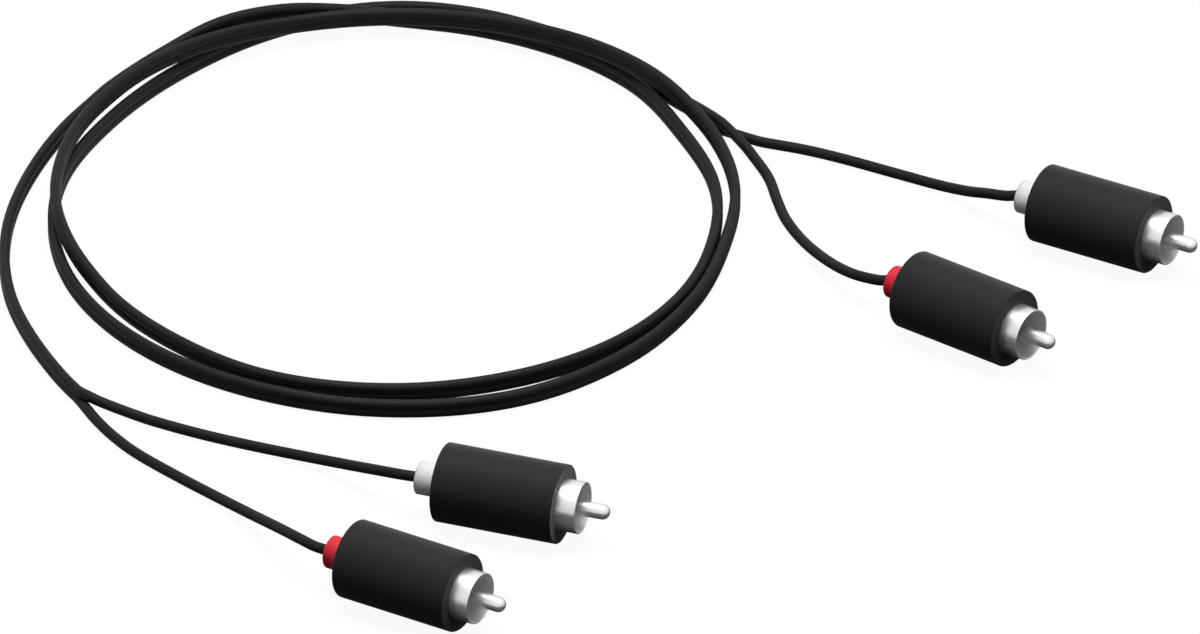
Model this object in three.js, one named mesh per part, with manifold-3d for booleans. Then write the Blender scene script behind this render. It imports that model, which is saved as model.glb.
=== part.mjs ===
// A stereo phono cable: a black twin lead laid in a loose coil, split into single cores at both ends,
// with four identical plugs. Two plugs carry a white ring and two a red one.
// Millimetres, +Z up. The plugs lie on their sides on z = 0 and the cord lies round them.

import * as THREE from "three";
import Module from "manifold-3d";

const wasm = await Module();
wasm.setup();

// Plug sizes, along its own axis: x = 0 at the back face of the housing, +x towards the pin.

const HOUSING_DIAMETER = 14.8;
const HOUSING_LENGTH = 23.4;
const HOUSING_EDGE = 0.3;
const BACK_WALL = 3.0;
const FIT = 0.15; // free space between a part and the bore or wall that holds it

const COLLAR_DIAMETER = 9.7;
const COLLAR_WALL = 0.25;
const COLLAR_REACH = 3.8; // how far the collar stands out of the housing
const COLLAR_FLOOR = 0.5;
const COLLAR_DEPTH = 9.4; // how far the collar runs back inside the housing

const PIN_DIAMETER = 2.85;
const PIN_REACH = 5.25; // how far the pin stands out of the collar
const PIN_BACK = 9.0;
const CUP_BORE = 1.5;
const CUP_DEPTH = 3.0;

const INSULATOR_SET_BACK = 2.5; // from the housing's front face to the insulator's
const INSULATOR_BOSS = 4.9;
const INSULATOR_BOSS_LENGTH = 1.7;

const RING_DIAMETER = 6.2;
const RING_REACH = 4.7; // how far the coloured ring stands out behind the housing
const RING_FLANGE_DIAMETER = 9.2;
const RING_FLANGE = 1.25;
const RING_BORE = 2.5;
const RING_EDGE = 0.25;

const CORE_DIAMETER = 2.0;
const CORE_SPACING = 1.6; // between the two core centres in the twin lead
const CORE_INSIDE = 7.0; // how far a core runs inside the housing

const WIRE_DIAMETER = 1.2;
const STRAND_DIAMETER = 0.9;
const BARE_STRAND = 0.5; // between the wire's insulation and the solder cup
const LUG_SHEET = 0.4; // the ground lug's sheet metal
const CLAMP_LENGTH = 1.6;
const CLAMP_SET_BACK = 0.2; // from the core's end to the clamp
const CLAMP_GAP = 0.7; // the split at the top of the clamp, where it was closed round the core
const CLAMP_SEAM = 0.1; // how deep the strap is joined into the clamp
const STRAP_WIDTH = 2.4;
const STRAP_LEDGE = 2.6; // the straight stretch beside the insulator's boss

const FRONT = HOUSING_LENGTH;
const COLLAR_RIM = FRONT + COLLAR_REACH;
const COLLAR_BACK = FRONT - COLLAR_DEPTH;
const PIN_TIP = COLLAR_RIM + PIN_REACH;
const AXIS_HEIGHT = HOUSING_DIAMETER / 2;

// Where the plugs lie: the centre of the housing's back face, and the turn towards the front.

const PLUGS = {
  right_white: { at: [52.3, 69.3], yaw: 29.8, ring: "white" },
  right_red: { at: [27.8, 38.1], yaw: 37.3, ring: "red" },
  left_white: { at: [-58.7, -30.4], yaw: 19.9, ring: "white" },
  left_red: { at: [-75.0, -57.2], yaw: 31.2, ring: "red" },
};

// The coil, from the left split clockwise to the right one: [degrees turned, radius, lift off the floor].
// Where the lead crosses over itself it is lifted by one lead's height, in a long low hump.

const COIL_CENTRE = [-68.0, 75.4];
const COIL_START = -131.6;
const COIL_STEP = 12;
const COIL = [
  [0, 87.6, 0], [10, 82.8, 0], [20, 79.1, 0], [40, 73.1, 0], [60, 69.3, 0], [80, 68.8, 0],
  [90, 70.0, 0], [100, 70.4, 1.3], [110, 70.0, 3.9], [120, 69.6, 4.1], [130, 70.0, 2.2],
  [140, 70.3, 0.2], [160, 67.7, 0], [180, 64.7, 0], [200, 60.5, 0], [220, 60.0, 0], [240, 60.0, 0],
  [260, 61.7, 0], [280, 63.3, 0], [300, 64.2, 0], [320, 64.8, 0], [340, 64.3, 0], [360, 62.0, 0],
  [380, 61.2, 0.4], [390, 62.4, 2.6], [400, 63.1, 4.1], [420, 63.4, 4.1], [440, 65.0, 3.2],
  [450, 65.2, 4.0], [460, 65.4, 4.2], [470, 66.0, 3.7], [480, 67.0, 2.7], [500, 67.8, 2.2],
  [520, 65.8, 3.3], [540, 64.2, 4.3], [550, 64.3, 3.6], [560, 64.9, 1.3], [570, 64.5, 0.2],
  [580, 63.7, 0], [600, 62.3, 0], [620, 64.3, 0], [640, 67.7, 0], [660, 70.7, 0], [680, 70.6, 0],
  [700, 69.0, 0], [720, 67.3, 0], [740, 65.6, 0], [760, 64.0, 0], [780, 63.2, 0], [800, 62.9, 0],
  [820, 65.5, 0], [840, 70.8, 0], [850, 73.3, 0], [860, 74.2, 0], [870, 73.2, 0], [880, 71.2, 0],
  [900, 67.2, 0], [910, 66.5, 0], [921, 68.2, 0],
];

// The four single cores, from the split to just behind the plug's ring: [x, y, height of the core's middle].

const TAILS = {
  left_white: [
    [-126.0, 9.3, 3.25], [-124.3, 7.6, 3.15], [-121.8, 6.4, 2.2], [-116.8, 4.2, 1.3], [-112.2, 1.5, 1.1],
    [-103.5, -3.0, 1.05], [-94.4, -7.1, 1.1], [-84.5, -12.1, 1.8], [-75.6, -19.0, 4.0], [-70.5, -24.4, 6.2],
    [-66.2, -27.7, 7.3],
  ],
  left_red: [
    [-126.0, 9.3, 1.0], [-122.6, 2.0, 1.0], [-119.1, -4.2, 1.0], [-114.8, -10.1, 1.0], [-107.0, -18.5, 1.05],
    [-100.6, -25.4, 1.4], [-94.1, -34.1, 2.9], [-88.6, -43.3, 5.4], [-84.8, -49.6, 7.0], [-81.8, -53.1, 7.4],
  ],
  right_white: [
    [-6.8, 106.1, 1.0], [-5.4, 105.4, 1.0], [-2.3, 103.5, 1.0], [0.3, 102.1, 1.0], [7.7, 99.5, 1.0],
    [14.8, 96.1, 1.1], [25.9, 90.1, 1.1], [33.3, 85.3, 1.6], [38.4, 80.0, 3.5], [41.9, 76.2, 5.3],
    [45.4, 73.3, 6.5],
  ],
  right_red: [
    [-6.8, 106.1, 3.25], [-5.2, 103.2, 2.6], [-3.2, 99.9, 1.8], [-1.5, 96.8, 1.2], [1.4, 89.0, 1.0],
    [3.0, 80.6, 1.05], [4.6, 73.6, 1.1], [7.7, 65.3, 1.5], [12.1, 54.9, 3.5], [16.6, 47.4, 5.2],
    [21.4, 43.0, 6.4],
  ],
};
const STRAIGHT_RUN = 5.2; // the last stretch behind the housing lies on the plug's axis

const FINISH = {
  housing: new THREE.MeshStandardMaterial({ color: 0x161616, roughness: 0.65, metalness: 0 }),
  metal: new THREE.MeshStandardMaterial({ color: 0xd8d8d8, roughness: 0.3, metalness: 1 }),
  insulator: new THREE.MeshStandardMaterial({ color: 0x2a2a2a, roughness: 0.7, metalness: 0 }),
  wire: new THREE.MeshStandardMaterial({ color: 0xb56a3c, roughness: 0.4, metalness: 1 }),
  cord: new THREE.MeshStandardMaterial({ color: 0x141515, roughness: 0.55, metalness: 0 }),
  white: new THREE.MeshStandardMaterial({ color: 0xe6e6e6, roughness: 0.6, metalness: 0 }),
  red: new THREE.MeshStandardMaterial({ color: 0xc81f34, roughness: 0.6, metalness: 0 }),
};

// Shapes turned round the plug's axis. A profile is a list of [x along the axis, radius] that runs
// forwards on the inside and back on the outside, closed or with both ends on the axis.

function turned(profile, segments) {
  const points = profile.map(([x, radius]) => new THREE.Vector2(Math.max(radius, 0), x)).reverse();
  const geometry = new THREE.LatheGeometry(points, segments);
  geometry.rotateZ(-Math.PI / 2);
  return geometry;
}

function closed(profile) {
  return [...profile, profile[0]];
}

// A quarter round from one direction to another, both in degrees, as profile points.
function round(x, radius, size, from, to, steps) {
  const points = [];
  for (let i = 0; i <= steps; i += 1) {
    const angle = THREE.MathUtils.degToRad(from + ((to - from) * i) / steps);
    points.push([x + size * Math.cos(angle), radius + size * Math.sin(angle)]);
  }
  return points;
}

function housingShape() {
  const outer = HOUSING_DIAMETER / 2;
  const bore = COLLAR_DIAMETER / 2 + FIT;
  const backBore = RING_DIAMETER / 2 + FIT;
  return turned(closed([
    [0, backBore],
    [BACK_WALL, backBore],
    [BACK_WALL, bore],
    [FRONT, bore],
    ...round(FRONT - HOUSING_EDGE, outer - HOUSING_EDGE, HOUSING_EDGE, 0, 90, 2),
    ...round(HOUSING_EDGE, outer - HOUSING_EDGE, HOUSING_EDGE, 90, 180, 2),
  ]), 48);
}

function collarShape() {
  const outer = COLLAR_DIAMETER / 2;
  const inner = outer - COLLAR_WALL;
  const hole = INSULATOR_BOSS / 2 + FIT;
  return turned(closed([
    [COLLAR_BACK, hole],
    [COLLAR_BACK + COLLAR_FLOOR, hole],
    [COLLAR_BACK + COLLAR_FLOOR, inner],
    [COLLAR_RIM, inner],
    [COLLAR_RIM, outer],
    [COLLAR_BACK, outer],
  ]), 40);
}

function insulatorShape() {
  const outer = COLLAR_DIAMETER / 2 - COLLAR_WALL - FIT;
  const bore = PIN_DIAMETER / 2 + FIT;
  const front = FRONT - INSULATOR_SET_BACK;
  const shoulder = COLLAR_BACK + COLLAR_FLOOR + FIT;
  const back = shoulder - FIT - INSULATOR_BOSS_LENGTH;
  return turned(closed([
    [back, bore],
    [front, bore],
    [front, outer],
    [shoulder, outer],
    [shoulder, INSULATOR_BOSS / 2],
    [back, INSULATOR_BOSS / 2],
  ]), 28);
}

function pinShape() {
  const radius = PIN_DIAMETER / 2;
  const cup = CUP_BORE / 2;
  return turned([
    ...round(PIN_TIP - radius, 0, radius, 0, 90, 6),
    [PIN_BACK, radius],
    [PIN_BACK, cup],
    [PIN_BACK + CUP_DEPTH, cup],
    [PIN_BACK + CUP_DEPTH, 0],
  ], 24);
}

function ringShape() {
  const outer = RING_DIAMETER / 2;
  const flange = BACK_WALL + FIT;
  return turned(closed([
    [-RING_REACH, RING_BORE / 2],
    [flange + RING_FLANGE, RING_BORE / 2],
    [flange + RING_FLANGE, RING_FLANGE_DIAMETER / 2],
    [flange, RING_FLANGE_DIAMETER / 2],
    [flange, outer],
    ...round(-RING_REACH + RING_EDGE, outer - RING_EDGE, RING_EDGE, 90, 180, 2),
  ]), 32);
}

function wireShape() {
  const start = CORE_INSIDE + FIT;
  const step = PIN_BACK - BARE_STRAND;
  const end = PIN_BACK + CUP_DEPTH - FIT;
  return turned([
    [end, 0],
    [end, STRAND_DIAMETER / 2],
    [step, STRAND_DIAMETER / 2],
    [step, WIRE_DIAMETER / 2],
    [start, WIRE_DIAMETER / 2],
    [start, 0],
  ], 14);
}

// The ground lug: a strap from the collar's floor, bent in to a clamp closed round the core.

function solidOf(geometry) {
  const position = geometry.getAttribute("position");
  const index = geometry.getIndex();
  const count = index ? index.count : position.count;
  const seen = new Map();
  const vertices = [];
  const triangles = [];
  for (let i = 0; i < count; i += 1) {
    const v = index ? index.getX(i) : i;
    const xyz = [position.getX(v), position.getY(v), position.getZ(v)];
    const key = xyz.map((c) => Math.round(c * 1e4)).join();
    if (!seen.has(key)) {
      seen.set(key, vertices.length / 3);
      vertices.push(...xyz);
    }
    triangles.push(seen.get(key));
  }
  const whole = [];
  for (let i = 0; i < triangles.length; i += 3) {
    const [a, b, c] = triangles.slice(i, i + 3);
    if (a !== b && b !== c && a !== c) whole.push(a, b, c);
  }
  return new wasm.Manifold(new wasm.Mesh({
    numProp: 3,
    vertProperties: new Float32Array(vertices),
    triVerts: new Uint32Array(whole),
  }));
}

function geometryOf(solid) {
  const mesh = solid.getMesh();
  const geometry = new THREE.BufferGeometry();
  geometry.setAttribute("position", new THREE.BufferAttribute(mesh.vertProperties, mesh.numProp));
  geometry.setIndex(new THREE.BufferAttribute(mesh.triVerts, 1));
  return geometry;
}

function box(x0, x1, y0, y1, z0, z1) {
  const geometry = new THREE.BoxGeometry(x1 - x0, y1 - y0, z1 - z0);
  geometry.translate((x0 + x1) / 2, (y0 + y1) / 2, (z0 + z1) / 2);
  return geometry;
}

function lugShape() {
  const inner = CORE_DIAMETER / 2 + FIT;
  const outer = inner + LUG_SHEET;
  const clampEnd = CORE_INSIDE - CLAMP_SET_BACK;
  const clampStart = clampEnd - CLAMP_LENGTH;
  const clamp = solidOf(turned(closed([
    [clampStart, inner],
    [clampEnd, inner],
    [clampEnd, outer],
    [clampStart, outer],
  ]), 24));
  const split = solidOf(box(clampStart - 1, clampEnd + 1, -CLAMP_GAP / 2, CLAMP_GAP / 2, 0, outer + 1));
  const footX = COLLAR_BACK - FIT;
  const footTop = -INSULATOR_BOSS / 2 - 2 * FIT;
  const footBottom = -COLLAR_DIAMETER / 2 + FIT;
  const seam = CLAMP_SEAM - outer;
  const strap = new THREE.Shape();
  strap.moveTo(clampStart, seam);
  strap.lineTo(clampStart, seam - LUG_SHEET);
  strap.lineTo(clampEnd, seam - LUG_SHEET);
  strap.lineTo(footX - STRAP_LEDGE, footTop - LUG_SHEET);
  strap.lineTo(footX - LUG_SHEET, footTop - LUG_SHEET);
  strap.lineTo(footX - LUG_SHEET, footBottom);
  strap.lineTo(footX, footBottom);
  strap.lineTo(footX, footTop);
  strap.lineTo(footX - STRAP_LEDGE, footTop);
  strap.lineTo(clampEnd, seam);
  strap.closePath();
  const plate = new THREE.ExtrudeGeometry(strap, { depth: STRAP_WIDTH, bevelEnabled: false });
  plate.translate(0, 0, -STRAP_WIDTH / 2);
  plate.rotateX(Math.PI / 2);
  const core = solidOf(turned([
    [clampEnd + 1, 0],
    [clampEnd + 1, inner],
    [clampStart - 1, inner],
    [clampStart - 1, 0],
  ], 24));
  return geometryOf(clamp.subtract(split).add(solidOf(plate).subtract(core)));
}

// A cord follows its list of points, one step from each to the next, and stays upright on the way.

class Route extends THREE.Curve {
  constructor(points) {
    super();
    this.points = points.map((p) => new THREE.Vector3(...p));
  }

  getPointAt(t) {
    return this.points[Math.round(t * (this.points.length - 1))].clone();
  }

  computeFrenetFrames() {
    const up = new THREE.Vector3(0, 0, 1);
    const last = this.points.length - 1;
    const frames = { tangents: [], normals: [], binormals: [] };
    this.points.forEach((point, i) => {
      const before = this.points[Math.max(i - 1, 0)];
      const after = this.points[Math.min(i + 1, last)];
      const tangent = after.clone().sub(before).normalize();
      const side = tangent.clone().cross(up).normalize();
      frames.tangents.push(tangent);
      frames.normals.push(side.clone().cross(tangent).normalize());
      frames.binormals.push(side);
    });
    return frames;
  }
}

function cordShape(points, section) {
  return new THREE.ExtrudeGeometry(section, { steps: points.length - 1, extrudePath: new Route(points) });
}

// The section's first axis is up, so the twin lead stands on edge, one core above the other.

function coreSection() {
  const corners = [];
  for (let i = 0; i < 8; i += 1) {
    const angle = ((i + 0.5) * Math.PI) / 4;
    corners.push(new THREE.Vector2(Math.cos(angle), Math.sin(angle)).multiplyScalar(CORE_DIAMETER / 2));
  }
  return new THREE.Shape(corners);
}

function twinSection() {
  const radius = CORE_DIAMETER / 2;
  const half = CORE_SPACING / 2;
  const waist = Math.sqrt(radius ** 2 - half ** 2);
  const corners = [];
  for (const [lobe, from] of [[half, -90], [-half, 90]]) {
    for (let i = 0; i <= 4; i += 1) {
      const angle = THREE.MathUtils.degToRad(from + i * 45);
      corners.push(new THREE.Vector2(lobe + radius * Math.cos(angle), radius * Math.sin(angle)));
    }
    corners.push(new THREE.Vector2(0, lobe > 0 ? waist : -waist));
  }
  return new THREE.Shape(corners);
}

// A smooth value between the rows of the coil's list.
function coilValue(turn, column) {
  const last = COIL.length - 1;
  let i = COIL.findIndex((row) => row[0] > turn) - 1;
  if (i < 0) i = last - 1;
  const slope = (k) => {
    const a = COIL[Math.max(k - 1, 0)];
    const b = COIL[Math.min(k + 1, last)];
    return (b[column] - a[column]) / (b[0] - a[0]);
  };
  const span = COIL[i + 1][0] - COIL[i][0];
  const t = (turn - COIL[i][0]) / span;
  return (2 * t ** 3 - 3 * t ** 2 + 1) * COIL[i][column]
    + (t ** 3 - 2 * t ** 2 + t) * span * slope(i)
    + (-2 * t ** 3 + 3 * t ** 2) * COIL[i + 1][column]
    + (t ** 3 - t ** 2) * span * slope(i + 1);
}

function coilPoint(turn) {
  const angle = THREE.MathUtils.degToRad(COIL_START - turn);
  const radius = coilValue(turn, 1);
  const lift = Math.max(coilValue(turn, 2), 0);
  return [
    COIL_CENTRE[0] + radius * Math.cos(angle),
    COIL_CENTRE[1] + radius * Math.sin(angle),
    CORE_DIAMETER / 2 + CORE_SPACING / 2 + lift,
  ];
}

function twinRoute() {
  const end = COIL[COIL.length - 1][0];
  const points = [];
  for (let turn = 0; turn < end - COIL_STEP / 2; turn += COIL_STEP) points.push(coilPoint(turn));
  points.push(coilPoint(end));
  return points;
}

function onAxis(plug, x) {
  const yaw = THREE.MathUtils.degToRad(plug.yaw);
  return [plug.at[0] + x * Math.cos(yaw), plug.at[1] - x * Math.sin(yaw), AXIS_HEIGHT];
}

function tailRoute(name) {
  const plug = PLUGS[name];
  return [...TAILS[name], onAxis(plug, -STRAIGHT_RUN), onAxis(plug, -RING_REACH), onAxis(plug, CORE_INSIDE)];
}

// The object

const cable = new THREE.Group();
cable.name = "stereo_phono_cable";

function part(name, geometry, material, parent) {
  const mesh = new THREE.Mesh(geometry, material);
  mesh.name = name;
  parent.add(mesh);
}

for (const [name, place] of Object.entries(PLUGS)) {
  const plug = new THREE.Group();
  plug.name = `${name}_plug`;
  plug.position.set(place.at[0], place.at[1], AXIS_HEIGHT);
  plug.rotation.z = -THREE.MathUtils.degToRad(place.yaw);
  part(`${name}_housing`, housingShape(), FINISH.housing, plug);
  part(`${name}_collar`, collarShape(), FINISH.metal, plug);
  part(`${name}_insulator`, insulatorShape(), FINISH.insulator, plug);
  part(`${name}_pin`, pinShape(), FINISH.metal, plug);
  part(`${name}_ring`, ringShape(), FINISH[place.ring], plug);
  part(`${name}_wire`, wireShape(), FINISH.wire, plug);
  part(`${name}_ground_lug`, lugShape(), FINISH.metal, plug);
  cable.add(plug);
  part(`${name}_core`, cordShape(tailRoute(name), coreSection()), FINISH.cord, cable);
}

part("twin_lead", cordShape(twinRoute(), twinSection()), FINISH.cord, cable);

export default cable;
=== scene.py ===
# The looks of a stereo phono cable: a black twin lead laid in a loose coil, and four plugs
# with coloured rings. Sizes are in millimetres unless a name or a note says metres, and every
# mesh is written in the shared frame, with the plugs and the cord lying on z = 0.

import math

import bmesh
import bpy
from mathutils import Matrix, Vector


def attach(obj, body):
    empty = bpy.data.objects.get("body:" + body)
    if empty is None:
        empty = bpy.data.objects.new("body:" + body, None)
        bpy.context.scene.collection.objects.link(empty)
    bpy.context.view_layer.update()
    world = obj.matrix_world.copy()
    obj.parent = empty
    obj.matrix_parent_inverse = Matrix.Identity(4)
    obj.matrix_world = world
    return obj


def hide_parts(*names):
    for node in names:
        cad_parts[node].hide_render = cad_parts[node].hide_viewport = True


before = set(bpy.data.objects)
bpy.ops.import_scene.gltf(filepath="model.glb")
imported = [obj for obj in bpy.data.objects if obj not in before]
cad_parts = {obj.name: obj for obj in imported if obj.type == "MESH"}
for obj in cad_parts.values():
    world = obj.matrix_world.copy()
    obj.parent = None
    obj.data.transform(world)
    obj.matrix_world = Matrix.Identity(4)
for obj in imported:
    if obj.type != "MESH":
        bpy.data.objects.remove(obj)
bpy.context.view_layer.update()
scene = bpy.context.scene
mm = 0.001
print("frame loaded:", len(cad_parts), "nodes")

# Camera: a long lens above the surface, looking along +Y

shot = {
    "target": (-30.0, 40.4, 0.0),
    "elevation": 31.0,
    "distance": 5600.0,
    "pixelsPerMm": 5.408,
    "pictureWidth": 1200,
    "sensor": 36.0,
    "clipEndInMetres": 100.0,
}


def makeCamera():
    data = bpy.data.cameras.new("camera")
    data.sensor_width = shot["sensor"]
    data.lens = shot["pixelsPerMm"] * shot["distance"] / shot["pictureWidth"] * shot["sensor"]
    data.clip_end = shot["clipEndInMetres"]
    camera = bpy.data.objects.new("camera", data)
    scene.collection.objects.link(camera)
    tilt = math.radians(shot["elevation"])
    back = Vector((0, -math.cos(tilt), math.sin(tilt)))
    camera.location = (Vector(shot["target"]) + back * shot["distance"]) * mm
    camera.rotation_euler = (math.pi / 2 - tilt, 0, 0)
    scene.camera = camera


makeCamera()

# Where the plugs lie: the middle of the housing's back face, and the turn towards the front

plugs = {
    "right_white": {"at": (52.3, 69.3), "yaw": 29.8, "ring": "white"},
    "right_red": {"at": (27.8, 38.1), "yaw": 37.3, "ring": "red"},
    "left_white": {"at": (-58.7, -30.4), "yaw": 19.9, "ring": "white"},
    "left_red": {"at": (-75.0, -57.2), "yaw": 31.2, "ring": "red"},
}
axisHeight = 7.4


def plugMatrix(place):
    # x = 0 at the housing's back face, +x towards the pin
    turn = Matrix.Rotation(-math.radians(place["yaw"]), 4, "Z")
    return Matrix.Translation((*place["at"], axisHeight)) @ turn


def onAxis(place, x):
    return plugMatrix(place) @ Vector((x, 0, 0))


# The twin lead's route, from the left split clockwise to the right one.
# Each row is the degrees turned, the radius, and the lift off the floor where the lead
# crosses itself.

coil = {
    "centre": (-68.0, 75.4),
    "start": -131.6,
    "step": 2.0,
    "rows": [
        (0, 87.6, 0), (10, 82.8, 0), (20, 79.1, 0), (40, 73.1, 0), (60, 69.3, 0),
        (80, 68.8, 0), (90, 70.0, 0), (100, 70.4, 1.3), (110, 70.0, 3.9), (120, 69.6, 4.1),
        (130, 70.0, 2.2), (140, 70.3, 0.2), (160, 67.7, 0), (180, 64.7, 0), (200, 60.5, 0),
        (220, 60.0, 0), (240, 60.0, 0), (260, 61.7, 0), (280, 63.3, 0), (300, 64.2, 0),
        (320, 64.8, 0), (340, 64.3, 0), (360, 62.0, 0), (380, 61.2, 0.4), (390, 62.4, 2.6),
        (400, 63.1, 4.1), (420, 63.4, 4.1), (440, 65.0, 3.2), (450, 65.2, 4.0),
        (460, 65.4, 4.2), (470, 66.0, 3.7), (480, 67.0, 2.7), (500, 67.8, 2.2),
        (520, 65.8, 3.3), (540, 64.2, 4.3), (550, 64.3, 3.6), (560, 64.9, 1.3),
        (570, 64.5, 0.2), (580, 63.7, 0), (600, 62.3, 0), (620, 64.3, 0), (640, 67.7, 0),
        (660, 70.7, 0), (680, 70.6, 0), (700, 69.0, 0), (720, 67.3, 0), (740, 65.6, 0),
        (760, 64.0, 0), (780, 63.2, 0), (800, 62.9, 0), (820, 65.5, 0), (840, 70.8, 0),
        (850, 73.3, 0), (860, 74.2, 0), (870, 73.2, 0), (880, 71.2, 0), (900, 67.2, 0),
        (910, 66.5, 0), (921, 68.2, 0),
    ],
}

# The single cores, from the split to behind the plug's ring. The upper one of each pair comes
# from the lead's top lobe.

tails = {
    "left_white": {"lengthInMetres": 0.087, "upper": True, "points": [
        (-124.3, 7.6, 2.85), (-121.8, 6.4, 2.2), (-116.8, 4.2, 1.3), (-112.2, 1.5, 1.1),
        (-103.5, -3.0, 1.05), (-94.4, -7.1, 1.1), (-84.5, -12.1, 1.8), (-75.6, -19.0, 4.0),
        (-70.5, -24.4, 6.2), (-66.2, -27.7, 7.3),
    ]},
    "left_red": {"lengthInMetres": 0.093, "upper": False, "points": [
        (-122.6, 2.0, 1.0), (-119.1, -4.2, 1.0), (-114.8, -10.1, 1.0), (-107.0, -18.5, 1.05),
        (-100.6, -25.4, 1.4), (-94.1, -34.1, 2.9), (-88.6, -43.3, 5.4), (-84.8, -49.6, 7.0),
        (-81.8, -53.1, 7.4),
    ]},
    "right_white": {"lengthInMetres": 0.079, "upper": False, "points": [
        (-5.4, 105.4, 1.0), (-2.3, 103.5, 1.0), (0.3, 102.1, 1.0), (7.7, 99.5, 1.0),
        (14.8, 96.1, 1.1), (25.9, 90.1, 1.1), (33.3, 85.3, 1.6), (38.4, 80.0, 3.5),
        (41.9, 76.2, 5.3), (45.4, 73.3, 6.5),
    ]},
    "right_red": {"lengthInMetres": 0.087, "upper": True, "points": [
        (-5.2, 103.2, 2.3), (-3.2, 99.9, 1.8), (-1.5, 96.8, 1.2), (1.4, 89.0, 1.0),
        (3.0, 80.6, 1.05), (4.6, 73.6, 1.1), (7.7, 65.3, 1.5), (12.1, 54.9, 3.5),
        (16.6, 47.4, 5.2), (21.4, 43.0, 6.4),
    ]},
}
twin = {
    "lengthInMetres": 1.075,
    "width": 3.6,
    "sides": 30,
    "grooveAngle": 5.0,  # degrees that each lobe leaves free for the groove between the two
}
core = {
    "radius": 1.0,
    "spacing": 1.6,  # between the two cores' middles in the twin lead
    "inside": 7.0,  # how far it reaches into the plug
    "ringEnd": 4.7,  # where the ring ends behind the housing
    "straightRun": 5.2,  # how far behind the housing it stays on the plug's axis
    "splitOverlap": 3,  # degrees of the coil that set its direction at the split
    "sides": 20,
    "steps": 9,
}


def rowValue(turned, column):
    # A smooth value between the coil's rows
    rows = coil["rows"]
    last = len(rows) - 1
    i = next((k for k in range(1, last) if rows[k][0] > turned), last) - 1

    def slope(k):
        a, b = rows[max(k - 1, 0)], rows[min(k + 1, last)]
        return (b[column] - a[column]) / (b[0] - a[0])

    a, b = rows[i], rows[i + 1]
    span = b[0] - a[0]
    t = (turned - a[0]) / span
    return (
        (2 * t**3 - 3 * t**2 + 1) * a[column]
        + (t**3 - 2 * t**2 + t) * span * slope(i)
        + (-2 * t**3 + 3 * t**2) * b[column]
        + (t**3 - t**2) * span * slope(i + 1)
    )


def coilPoint(turned):
    angle = math.radians(coil["start"] - turned)
    radius = rowValue(turned, 1)
    height = core["radius"] + core["spacing"] / 2 + max(rowValue(turned, 2), 0)
    x, y = coil["centre"]
    return Vector((x + radius * math.cos(angle), y + radius * math.sin(angle), height))


def twinRoute():
    end = coil["rows"][-1][0]
    steps = round(end / coil["step"])
    return [coilPoint(end * i / steps) for i in range(steps + 1)]


def smoothRoute(points, steps):
    # One smooth curve through the points. The first and last only set the direction at the ends.
    route = []
    for before, start, end, after in zip(points, points[1:], points[2:], points[3:]):
        reach = (end - start).length
        leave = (end - before).normalized() * reach
        arrive = (after - start).normalized() * reach
        for i in range(steps):
            t = i / steps
            route.append(
                (2 * t**3 - 3 * t**2 + 1) * start
                + (t**3 - 2 * t**2 + t) * leave
                + (-2 * t**3 + 3 * t**2) * end
                + (t**3 - t**2) * arrive
            )
    return [*route, points[-2]]


def tailRoute(name):
    # The core's centre line, from inside the plug to its lobe in the end of the twin lead
    tail = tails[name]
    lobe = core["spacing"] / 2 * (1 if tail["upper"] else -1)
    last, overlap = coil["rows"][-1][0], core["splitOverlap"]
    turned = (0, overlap) if name.startswith("left") else (last, last - overlap)
    split, inside = (coilPoint(t) + Vector((0, 0, lobe)) for t in turned)
    # The first stop, a millimetre further in, only sets the direction
    stops = (core["inside"] + 1, core["inside"], -core["ringEnd"], -core["straightRun"])
    plugEnd = [onAxis(plugs[name], x) for x in stops]
    points = [Vector(p) for p in reversed(tail["points"])]
    return smoothRoute([*plugEnd, *points, split, inside], core["steps"])


# Node trees that grow a mesh from a line of points

sharpAngle = math.radians(40)  # edges that turn more than this stay sharp


def newTree(name, inputs):
    # An empty node tree that takes geometry and the named inputs, and gives geometry
    tree = bpy.data.node_groups.new(name, "GeometryNodeTree")
    tree.interface.new_socket(name="Geometry", in_out="OUTPUT", socket_type="NodeSocketGeometry")
    tree.interface.new_socket(name="Geometry", in_out="INPUT", socket_type="NodeSocketGeometry")
    for label, kind in inputs.items():
        tree.interface.new_socket(name=label, in_out="INPUT", socket_type=kind)
    return tree, tree.nodes.new("NodeGroupInput").outputs


def addNode(tree, kind, inputs, **settings):
    # Adds a node, sets or links its inputs and returns its first output
    node = tree.nodes.new(kind)
    for label, value in settings.items():
        setattr(node, label, value)
    for label, value in inputs.items():
        if isinstance(value, bpy.types.NodeSocket):
            tree.links.new(value, node.inputs[label])
        else:
            node.inputs[label].default_value = value
    return node.outputs[0]


def addMath(tree, operation, *values):
    return addNode(tree, "ShaderNodeMath", dict(enumerate(values)), operation=operation)


def finishTree(tree, geometry, material):
    solid = addNode(tree, "GeometryNodeRealizeInstances", {"Geometry": geometry})
    finished = addNode(tree, "GeometryNodeSetMaterial", {"Geometry": solid, "Material": material})
    tree.links.new(finished, tree.nodes.new("NodeGroupOutput").inputs["Geometry"])
    return tree


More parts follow.
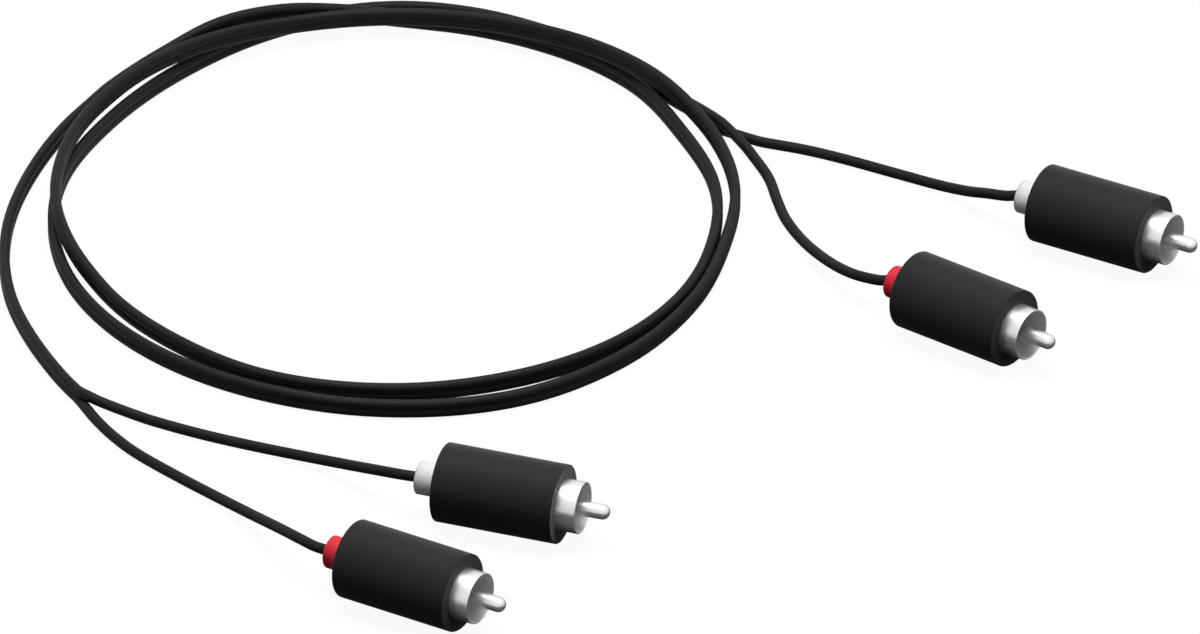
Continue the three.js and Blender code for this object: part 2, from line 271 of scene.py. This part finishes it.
def cordTree():
    # Sweeps a section of one or two round cores along the line, kept upright, and closes both ends.
    # Wrap is how far each lobe's arc runs past the half circle, in radians.
    tree, given = newTree("cordSweep", {
        "Core Radius": "NodeSocketFloat",
        "Half Spacing": "NodeSocketFloat",
        "Wrap": "NodeSocketFloat",
        "Sides": "NodeSocketInt",
        "Material": "NodeSocketMaterial",
    })
    loop = addNode(tree, "GeometryNodeCurvePrimitiveCircle", {
        "Resolution": given["Sides"], "Radius": 1.0,
    })
    # The first half of the loop's points make the upper lobe and the second half the lower one
    lowerStart = 0.999  # a little under 1, so that rounding leaves its first point in its lobe
    share = addMath(tree, "MULTIPLY", addNode(tree, "GeometryNodeSplineParameter", {}), 2.0)
    isLower = addMath(tree, "GREATER_THAN", share, lowerStart)
    perLobe = addMath(tree, "DIVIDE", given["Sides"], 2.0)
    spread = addMath(tree, "DIVIDE", perLobe, addMath(tree, "SUBTRACT", perLobe, 1.0))
    along = addMath(tree, "MULTIPLY", addMath(tree, "SUBTRACT", share, isLower), spread)
    arc = addMath(tree, "MULTIPLY_ADD", given["Wrap"], 2.0, math.pi)
    swing = addMath(tree, "SUBTRACT", addMath(tree, "MULTIPLY", along, arc), given["Wrap"])
    angle = addMath(tree, "MULTIPLY_ADD", isLower, math.pi, swing)
    side = addMath(tree, "MULTIPLY_ADD", isLower, -2.0, 1.0)
    across = addMath(tree, "MULTIPLY", addMath(tree, "COSINE", angle), given["Core Radius"])
    height = addMath(tree, "MULTIPLY", addMath(tree, "SINE", angle), given["Core Radius"])
    up = addMath(tree, "MULTIPLY_ADD", side, given["Half Spacing"], height)
    corner = addNode(tree, "ShaderNodeCombineXYZ", {"X": across, "Y": up})
    section = addNode(tree, "GeometryNodeSetPosition", {"Geometry": loop, "Position": corner})
    path = addNode(tree, "GeometryNodeMeshToCurve", {"Mesh": given["Geometry"]})
    upright = addNode(tree, "GeometryNodeSetCurveNormal", {"Curve": path}, mode="Z_UP")
    swept = {"Curve": upright, "Profile Curve": section, "Fill Caps": True}
    return finishTree(tree, addNode(tree, "GeometryNodeCurveToMesh", swept), given["Material"])


def turnedTree():
    # Turns an outline of (radius - 1, x) round the plug's axis, which is the tree's -z axis
    tree, given = newTree("turnedShape", {
        "Segments": "NodeSocketInt",
        "Merge Distance": "NodeSocketFloat",
        "Material": "NodeSocketMaterial",
    })
    outline = addNode(tree, "GeometryNodeMeshToCurve", {"Mesh": given["Geometry"]})
    circle = addNode(tree, "GeometryNodeCurvePrimitiveCircle", {
        "Resolution": given["Segments"], "Radius": 1.0,
    })
    upright = addNode(tree, "GeometryNodeSetCurveNormal", {"Curve": circle}, mode="Z_UP")
    skin = addNode(tree, "GeometryNodeCurveToMesh", {"Curve": upright, "Profile Curve": outline})
    merged = addNode(tree, "GeometryNodeMergeByDistance", {
        "Geometry": skin, "Distance": given["Merge Distance"],
    })
    return finishTree(tree, merged, given["Material"])


trees = {"cord": cordTree(), "turned": turnedTree()}


def lineObject(name, points, isClosed):
    mesh = bpy.data.meshes.new(name + "_line")
    edges = [(i, i + 1) for i in range(len(points) - 1)]
    if isClosed:
        edges.append((len(points) - 1, 0))
    mesh.from_pydata(points, edges, [])
    line = bpy.data.objects.new(name + "_line", mesh)
    scene.collection.objects.link(line)
    return line


def grownPiece(name, line, tree, values, matrix):
    # Runs a tree on the line, keeps its mesh as the piece and removes the line
    modifier = line.modifiers.new("grow", "NODES")
    modifier.node_group = tree
    for socket in tree.interface.items_tree:
        if socket.in_out == "INPUT" and socket.name in values:
            modifier[socket.identifier] = values[socket.name]
    evaluated = line.evaluated_get(bpy.context.evaluated_depsgraph_get())
    mesh = bpy.data.meshes.new_from_object(evaluated)
    bpy.data.objects.remove(line)
    mesh.name = name
    mesh.transform(Matrix.Scale(mm, 4) @ matrix)
    pointOutwards(mesh)
    mesh.shade_smooth()
    mesh.set_sharp_from_angle(angle=sharpAngle)
    piece = bpy.data.objects.new(name, mesh)
    scene.collection.objects.link(piece)
    return piece


def pointOutwards(mesh):
    # A mesh that the tree or its place turned inside out has a negative volume
    shape = bmesh.new()
    shape.from_mesh(mesh)
    if shape.calc_volume(signed=True) < 0:
        bmesh.ops.reverse_faces(shape, faces=shape.faces)
    shape.to_mesh(mesh)
    shape.free()


print("node trees made:", len(trees))

# Materials

grainPlan = {
    "fineDetail": 3.0,
    "broadSize": 120.0,
    "broadDetail": 2.0,
    "broadShare": 0.5,
    "heightInMetres": 0.00002,
    "middleRange": (0.35, 0.65),  # where most of the grain's values lie
}


def newMaterial(name):
    material = bpy.data.materials.new(name)
    material.use_nodes = True
    nodes = material.node_tree.nodes
    return material, nodes, material.node_tree.links, nodes["Principled BSDF"]


def grainGroup():
    # Fine irregular grain: a normal for the surface, and a value from 0 to 1 for colour and
    # roughness
    group = bpy.data.node_groups.new("fineGrain", "ShaderNodeTree")
    for label, kind, way in (
        ("Size", "NodeSocketFloat", "INPUT"),
        ("Depth", "NodeSocketFloat", "INPUT"),
        ("Value", "NodeSocketFloat", "OUTPUT"),
        ("Normal", "NodeSocketVector", "OUTPUT"),
    ):
        group.interface.new_socket(name=label, in_out=way, socket_type=kind)
    nodes, links = group.nodes, group.links
    given, made = nodes.new("NodeGroupInput"), nodes.new("NodeGroupOutput")
    place = nodes.new("ShaderNodeTexCoord")
    fine, broad = nodes.new("ShaderNodeTexNoise"), nodes.new("ShaderNodeTexNoise")
    fine.inputs["Detail"].default_value = grainPlan["fineDetail"]
    broad.inputs["Scale"].default_value = grainPlan["broadSize"]
    broad.inputs["Detail"].default_value = grainPlan["broadDetail"]
    bump = nodes.new("ShaderNodeBump")
    bump.inputs["Distance"].default_value = grainPlan["heightInMetres"]
    mix = nodes.new("ShaderNodeMix")
    mix.inputs["Factor"].default_value = grainPlan["broadShare"]
    links.new(place.outputs["Object"], fine.inputs["Vector"])
    links.new(place.outputs["Object"], broad.inputs["Vector"])
    links.new(given.outputs["Size"], fine.inputs["Scale"])
    links.new(given.outputs["Depth"], bump.inputs["Strength"])
    links.new(fine.outputs["Fac"], bump.inputs["Height"])
    links.new(fine.outputs["Fac"], mix.inputs["A"])
    links.new(broad.outputs["Fac"], mix.inputs["B"])
    links.new(mix.outputs["Result"], made.inputs["Value"])
    links.new(bump.outputs["Normal"], made.inputs["Normal"])
    return group


grain = grainGroup()


def ramp(nodes, links, value, low, high):
    # Maps the grain's middle range onto a range of numbers
    node = nodes.new("ShaderNodeMapRange")
    node.inputs["From Min"].default_value = grainPlan["middleRange"][0]
    node.inputs["From Max"].default_value = grainPlan["middleRange"][1]
    node.inputs["To Min"].default_value = low
    node.inputs["To Max"].default_value = high
    links.new(value, node.inputs["Value"])
    return node.outputs["Result"]


def grainedMaterial(look):
    # Fine grain in the surface, the roughness and faintly in the colour
    material, nodes, links, shader = newMaterial(look["name"])
    texture = nodes.new("ShaderNodeGroup")
    texture.node_tree = grain
    texture.inputs["Size"].default_value = look["grain"]
    texture.inputs["Depth"].default_value = look["depth"]
    mix = nodes.new("ShaderNodeMix")
    mix.data_type = "RGBA"
    for socket, share in (("A", 1 - look["mottle"]), ("B", 1 + look["mottle"])):
        mix.inputs[socket].default_value = (*(c * share for c in look["colour"]), 1)
    links.new(ramp(nodes, links, texture.outputs["Value"], 0, 1), mix.inputs["Factor"])
    links.new(mix.outputs["Result"], shader.inputs["Base Color"])
    low, high = look["roughness"]
    links.new(ramp(nodes, links, texture.outputs["Value"], low, high), shader.inputs["Roughness"])
    links.new(texture.outputs["Normal"], shader.inputs["Normal"])
    shader.inputs["Metallic"].default_value = look.get("metallic", 0)
    shader.inputs["Specular IOR Level"].default_value = look.get("specular", 0.5)
    if "sheen" in look:
        shader.inputs["Sheen Weight"].default_value = look["sheen"]
        shader.inputs["Sheen Roughness"].default_value = look["sheenRoughness"]
    if "throughRadius" in look:
        shader.inputs["Subsurface Weight"].default_value = 1
        shader.inputs["Subsurface Radius"].default_value = look["throughRadius"]
        shader.inputs["Subsurface Scale"].default_value = mm
    return material


# Mottle is how far the colour varies either way, and throughRadius how far light spreads in
# the plastic in its red, green and blue parts

looks = {
    "housing": {"name": "mouldedBlack", "colour": (0.0255, 0.0255, 0.0255), "mottle": 0.07,
                "roughness": (0.5, 0.6), "grain": 2600, "depth": 0.2, "specular": 0.06,
                "sheen": 0.5, "sheenRoughness": 0.3},
    "cord": {"name": "cordJacket", "colour": (0.0085, 0.0095, 0.009), "mottle": 0.07,
             "roughness": (0.5, 0.6), "grain": 1800, "depth": 0.12, "specular": 0.12},
    "metal": {"name": "brightPlate", "colour": (0.83, 0.83, 0.83), "mottle": 0.01,
              "roughness": (0.33, 0.35), "grain": 1500, "depth": 0.01, "metallic": 1},
    "inside": {"name": "dullPlate", "colour": (0.83, 0.83, 0.83), "mottle": 0.01,
               "roughness": (0.6, 0.64), "grain": 1500, "depth": 0.01, "metallic": 1},
    "white": {"name": "ringWhite", "colour": (0.95, 0.95, 0.95), "mottle": 0.02,
              "roughness": (0.48, 0.52), "grain": 2200, "depth": 0.02, "specular": 0.2,
              "throughRadius": (2.5, 2.5, 2.5)},
    "red": {"name": "ringRed", "colour": (0.81, 0.02, 0.055), "mottle": 0.02,
            "roughness": (0.48, 0.52), "grain": 2200, "depth": 0.02, "specular": 0.2,
            "throughRadius": (2.5, 0.6, 0.6)},
    "insulator": {"name": "insulatorGrey", "colour": (0.16, 0.16, 0.16), "mottle": 0.05,
                  "roughness": (0.5, 0.6), "grain": 2600, "depth": 0.2},
    "copper": {"name": "tinnedCopper", "colour": (0.75, 0.5, 0.36), "mottle": 0.05,
               "roughness": (0.3, 0.45), "grain": 3000, "depth": 0.3, "metallic": 1},
}
materials = {key: grainedMaterial(look) for key, look in looks.items()}
print("materials made:", len(materials))

# Cords


def cordPiece(name, route, values):
    line = lineObject(name, route, isClosed=False)
    sizes = {"Core Radius": core["radius"], "Material": materials["cord"], **values}
    piece = grownPiece(name, line, trees["cord"], sizes, Matrix())
    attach(piece, "root")
    return piece


def makeTwin():
    route = twinRoute()
    half = core["spacing"] / 2
    # Each lobe's arc runs on until it nearly meets the other lobe in the groove
    wrap = math.acos(-half / core["radius"]) - math.pi / 2 - math.radians(twin["grooveAngle"])
    values = {"Half Spacing": half, "Wrap": wrap, "Sides": twin["sides"]}
    piece = cordPiece("twinLead", route, values)
    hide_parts("twin_lead")


def makeCore(name):
    route = tailRoute(name)
    evenWrap = -math.pi / core["sides"]  # spaces a single core's corners evenly
    values = {"Half Spacing": 0.0, "Wrap": evenWrap, "Sides": core["sides"]}
    piece = cordPiece(f"{name}_coreJacket", route, values)
    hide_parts(f"{name}_core")


makeTwin()
for plugName in plugs:
    makeCore(plugName)
print("cords made:", 1 + len(plugs))

# Plugs: each piece is an outline turned round the plug's axis, x = 0 at the housing's back face


def rounded(corners, steps=4):
    # Rounds each corner (x, radius, fillet) of a closed outline
    outline = []
    for i, (x, radius, size) in enumerate(corners):
        here = Vector((x, radius))
        if size == 0:
            outline.append(here)
            continue
        before = (Vector(corners[i - 1][:2]) - here).normalized()
        after = (Vector(corners[(i + 1) % len(corners)][:2]) - here).normalized()
        half = before.angle(after) / 2
        centre = here + (before + after).normalized() * size / math.sin(half)
        start = here + before * size / math.tan(half) - centre
        end = here + after * size / math.tan(half) - centre
        for k in range(steps + 1):
            direction = (start.normalized() * (steps - k) + end.normalized() * k).normalized()
            outline.append(centre + direction * size)
    return outline


housing = {
    "radius": 7.4, "length": 23.4, "backWall": 3.0, "edge": 0.16, "boreEdge": 0.1,
    "clearance": 0.05,  # round the collar and round the ring
}
front = housing["length"]


def housingOutline():
    outer, edge, boreEdge = housing["radius"], housing["edge"], housing["boreEdge"]
    wall, clearance = housing["backWall"], housing["clearance"]
    bore, back = collar["radius"] + clearance, ring["radius"] + clearance
    return rounded([
        (0, back, boreEdge), (wall, back, 0), (wall, bore, 0), (front, bore, boreEdge),
        (front, outer, edge), (0, outer, edge),
    ])


collar = {
    "radius": 4.85, "wall": 0.25, "reach": 3.8, "depth": 9.4, "floor": 0.5,
    "innerEdge": 0.1, "outerEdge": 0.12,
    "clearance": 0.15,  # round the insulator's boss
    "dullShare": 0.7,  # faces that lie deeper than this share of the wall are dull
}
rim = front + collar["reach"]


def collarOutline():
    outer = collar["radius"]
    inner = outer - collar["wall"]
    back = front - collar["depth"]
    floor = back + collar["floor"]
    hole = insulator["boss"] + collar["clearance"]
    return rounded([
        (back, hole, 0), (floor, hole, 0), (floor, inner, 0),
        (rim, inner, collar["innerEdge"]), (rim, outer, collar["outerEdge"]), (back, outer, 0),
    ])


def dullInside(piece, place):
    # The collar is plated less brightly inside
    piece.data.materials.append(materials["inside"])
    toPlug = plugMatrix(place).inverted()
    for face in piece.data.polygons:
        across = (toPlug @ (face.center / mm)).yz
        if across.length < collar["radius"] - collar["wall"] * collar["dullShare"]:
            face.material_index = 1


insulator = {
    "setBack": 2.5, "boss": 2.45, "bossLength": 1.7, "boreEdge": 0.1, "outerEdge": 0.2,
    "clearance": 0.02,  # round the pin and inside the collar
    "seat": 0.05,  # in front of the collar's floor
}


def insulatorOutline():
    clearance, boss = insulator["clearance"], insulator["boss"]
    outer = collar["radius"] - collar["wall"] - clearance
    bore = pin["radius"] + clearance
    face = front - insulator["setBack"]
    shoulder = front - collar["depth"] + collar["floor"] + insulator["seat"]
    back = shoulder - insulator["bossLength"]
    return rounded([
        (back, bore, 0), (face, bore, insulator["boreEdge"]),
        (face, outer, insulator["outerEdge"]), (shoulder, outer, 0),
        (shoulder, boss, 0), (back, boss, 0),
    ])


pin = {
    "radius": 1.425, "reach": 5.25, "back": 9.0, "cup": 0.75, "cupDepth": 3.0, "noseSteps": 14,
}


def pinOutline():
    # From the tip of the round nose back to the solder cup's floor
    radius, back, cup, steps = pin["radius"], pin["back"], pin["cup"], pin["noseSteps"]
    cupEnd = back + pin["cupDepth"]
    noseCentre = rim + pin["reach"] - radius
    outline = []
    for i in range(steps + 1):
        angle = math.radians(90 * i / steps)
        outline.append((noseCentre + radius * math.cos(angle), radius * math.sin(angle)))
    outline += [(back, radius), (back, cup), (cupEnd, cup), (cupEnd, 0)]
    return [Vector(point) for point in outline]


ring = {
    "radius": 3.1, "bore": 1.03, "flange": 4.6, "flangeLength": 1.25, "edge": 0.26,
    "boreEdge": 0.1,
    "seat": 0.05,  # in front of the housing's back wall
}


def ringOutline():
    outer, bore, flange = ring["radius"], ring["bore"], ring["flange"]
    start = housing["backWall"] + ring["seat"]
    end = start + ring["flangeLength"]
    back = -core["ringEnd"]
    return rounded([
        (back, bore, ring["boreEdge"]), (end, bore, 0), (end, flange, 0),
        (start, flange, 0), (start, outer, 0), (back, outer, ring["edge"]),
    ])


# The ring's finish follows its colour on each plug

plugPieces = [
    {"name": "housingShell", "node": "housing", "outline": housingOutline, "segments": 160,
     "look": "housing", "slot": "housing_plastic"},
    {"name": "collarSleeve", "node": "collar", "outline": collarOutline, "segments": 128,
     "look": "metal", "slot": "contact_metal"},
    {"name": "insulatorDisc", "node": "insulator", "outline": insulatorOutline,
     "segments": 96, "look": "insulator", "slot": "insulator_plastic"},
    {"name": "contactPin", "node": "pin", "outline": pinOutline, "segments": 64,
     "look": "metal", "slot": "contact_metal"},
    {"name": "colourRing", "node": "ring", "outline": ringOutline, "segments": 96,
     "look": None, "slot": None},
]
mergeDistance = 0.0005  # closes the pin's tip and cup on the axis


def turnedPiece(name, kind, place, look):
    outline = kind["outline"]()
    # An outline that starts on the axis also ends there, and needs no edge along it
    line = lineObject(name, [(p.y - 1, p.x, 0) for p in outline], isClosed=outline[0].y > 0)
    values = {
        "Segments": kind["segments"],
        "Merge Distance": mergeDistance,
        "Material": materials[look],
    }
    forward = Matrix.Rotation(-math.pi / 2, 4, "Y")  # the tree's -z axis becomes the plug's x
    return grownPiece(name, line, trees["turned"], values, plugMatrix(place) @ forward)


def makePlug(name, place):
    for kind in plugPieces:
        piece = turnedPiece(f"{name}_{kind['name']}", kind, place, kind["look"] or place["ring"])
        if kind["node"] == "collar":
            dullInside(piece, place)
        weighted = piece.modifiers.new("evenShading", "WEIGHTED_NORMAL")
        weighted.keep_sharp = True
        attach(piece, "root")
        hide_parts(f"{name}_{kind['node']}")


for plugName, plugPlace in plugs.items():
    makePlug(plugName, plugPlace)
print("plugs made:", len(plugs))

# The solids inside the plugs keep their shapes and get their finish

innerLooks = {"_wire": "copper", "_lug": "metal"}
for nodeName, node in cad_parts.items():
    for ending, look in innerLooks.items():
        if nodeName.endswith(ending):
            node.data.materials.clear()
            node.data.materials.append(materials[look])

# Floor, light and background

floorPlan = {
    "sizeInMetres": 30.0,
    "drop": 0.02,  # under z = 0, so that it never meets the pieces that rest on it
    "paint": 0.1,  # its tone where it lights the object
    "whitePaint": 0.97,  # its tone for the camera
    "whiteShare": 0.94,  # the rest of what the camera sees is paint, which takes the shadow
    "mirroredWhite": 0.85,
    # Painted shade: metal sees the floor darker within these distances of each plug's collar
    "paintedShadeInMetres": (0.025, 0.16),  # where metal starts to see the white, and sees it fully
}


def floorMaterial():
    # The camera sees the floor as the white background, with the object's faint shadow on it
    material, nodes, links, shader = newMaterial("paleFloor")
    nodes.remove(shader)
    tree = material.node_tree
    rays = nodes.new("ShaderNodeLightPath").outputs
    white = nodes.new("ShaderNodeEmission")
    white.inputs["Color"].default_value = (1, 1, 1, 1)
    paint = nodes.new("ShaderNodeBsdfDiffuse")
    tone = nodes.new("ShaderNodeMix")
    tone.data_type = "RGBA"
    tone.inputs["A"].default_value = (*[floorPlan["paint"]] * 3, 1)
    tone.inputs["B"].default_value = (*[floorPlan["whitePaint"]] * 3, 1)
    links.new(rays["Is Camera Ray"], tone.inputs["Factor"])
    links.new(tone.outputs["Result"], paint.inputs["Color"])
    # Metal sees the white too, except close to a plug, where painted shade darkens the floor in its
    # reflections
    place = nodes.new("ShaderNodeNewGeometry")
    nearest = None
    for spot in plugs.values():
        away = nodes.new("ShaderNodeVectorMath")
        away.operation = "DISTANCE"
        away.inputs[1].default_value = Vector((*onAxis(spot, rim)[:2], 0)) * mm
        links.new(place.outputs["Position"], away.inputs[0])
        distance = away.outputs["Value"]
        nearest = addMath(tree, "MINIMUM", nearest, distance) if nearest else distance
    # Painted shade: the white seen in metal fades out towards each plug
    whiteBeyondPaintedShade = nodes.new("ShaderNodeMapRange")
    whiteBeyondPaintedShade.interpolation_type = "SMOOTHSTEP"
    whiteBeyondPaintedShade.inputs["From Min"].default_value = floorPlan["paintedShadeInMetres"][0]
    whiteBeyondPaintedShade.inputs["From Max"].default_value = floorPlan["paintedShadeInMetres"][1]
    whiteBeyondPaintedShade.inputs["To Max"].default_value = floorPlan["mirroredWhite"]
    links.new(nearest, whiteBeyondPaintedShade.inputs["Value"])
    mirrored = addMath(tree, "ADD", rays["Is Glossy Ray"], rays["Is Transmission Ray"])
    inMetal = addMath(tree, "MULTIPLY", mirrored, whiteBeyondPaintedShade.outputs["Result"])
    share = addMath(tree, "MULTIPLY_ADD", rays["Is Camera Ray"], floorPlan["whiteShare"], inMetal)
    blend = nodes.new("ShaderNodeMixShader")
    links.new(share, blend.inputs[0])
    links.new(paint.outputs["BSDF"], blend.inputs[1])
    links.new(white.outputs["Emission"], blend.inputs[2])
    links.new(blend.outputs["Shader"], nodes["Material Output"].inputs["Surface"])
    return material


def makeFloor():
    size = floorPlan["sizeInMetres"]
    corners = [(-size, -size, 0), (size, -size, 0), (size, size, 0), (-size, size, 0)]
    mesh = bpy.data.meshes.new("floor")
    mesh.from_pydata(corners, [], [(0, 1, 2, 3)])
    floor = bpy.data.objects.new("floor", mesh)
    floor.location.z = -floorPlan["drop"] * mm
    mesh.materials.append(floorMaterial())
    scene.collection.objects.link(floor)


worldPlan = {"onObject": 0.06, "mirrored": 0.92}


def makeWorld():
    # White for the camera, for glass and in metal, and dim where it would only light the object
    world = bpy.data.worlds.new("studio")
    world.use_nodes = True
    tree = world.node_tree
    nodes, links = tree.nodes, tree.links
    background = nodes["Background"]
    background.inputs["Color"].default_value = (1, 1, 1, 1)
    rays = nodes.new("ShaderNodeLightPath").outputs
    seen = addMath(tree, "ADD", rays["Is Camera Ray"], rays["Is Transmission Ray"])
    shown = addMath(tree, "MULTIPLY_ADD", rays["Is Glossy Ray"], worldPlan["mirrored"], seen)
    strength = nodes.new("ShaderNodeMapRange")
    strength.inputs["To Min"].default_value = worldPlan["onObject"]
    strength.inputs["To Max"].default_value = 1.0
    links.new(shown, strength.inputs["Value"])
    links.new(strength.outputs["Result"], background.inputs["Strength"])
    scene.world = world


# Mirrored lamps are the ones that the metal shows

lamps = [
    {"name": "softbox", "fromInMetres": (0, 0, 1.6), "size": 1.0, "power": 27.0,
     "mirrored": True},
    {"name": "sideFill", "fromInMetres": (2.5, -0.5, 0.6), "size": 1.5, "power": 20.0,
     "mirrored": False},
]


def makeLamp(lamp):
    # A round soft lamp, placed from the picture's middle and turned towards it
    data = bpy.data.lights.new(lamp["name"], "AREA")
    data.shape = "DISK"
    data.size = lamp["size"]
    data.energy = lamp["power"]
    light = bpy.data.objects.new(lamp["name"], data)
    offset = Vector(lamp["fromInMetres"])
    light.location = Vector(shot["target"]) * mm + offset
    light.rotation_euler = offset.to_track_quat("Z", "Y").to_euler()
    light.visible_glossy = lamp["mirrored"]
    scene.collection.objects.link(light)


makeFloor()
makeWorld()
for lampPlan in lamps:
    makeLamp(lampPlan)
scene.view_settings.view_transform = "Standard"
print("floor, lamps and background made")
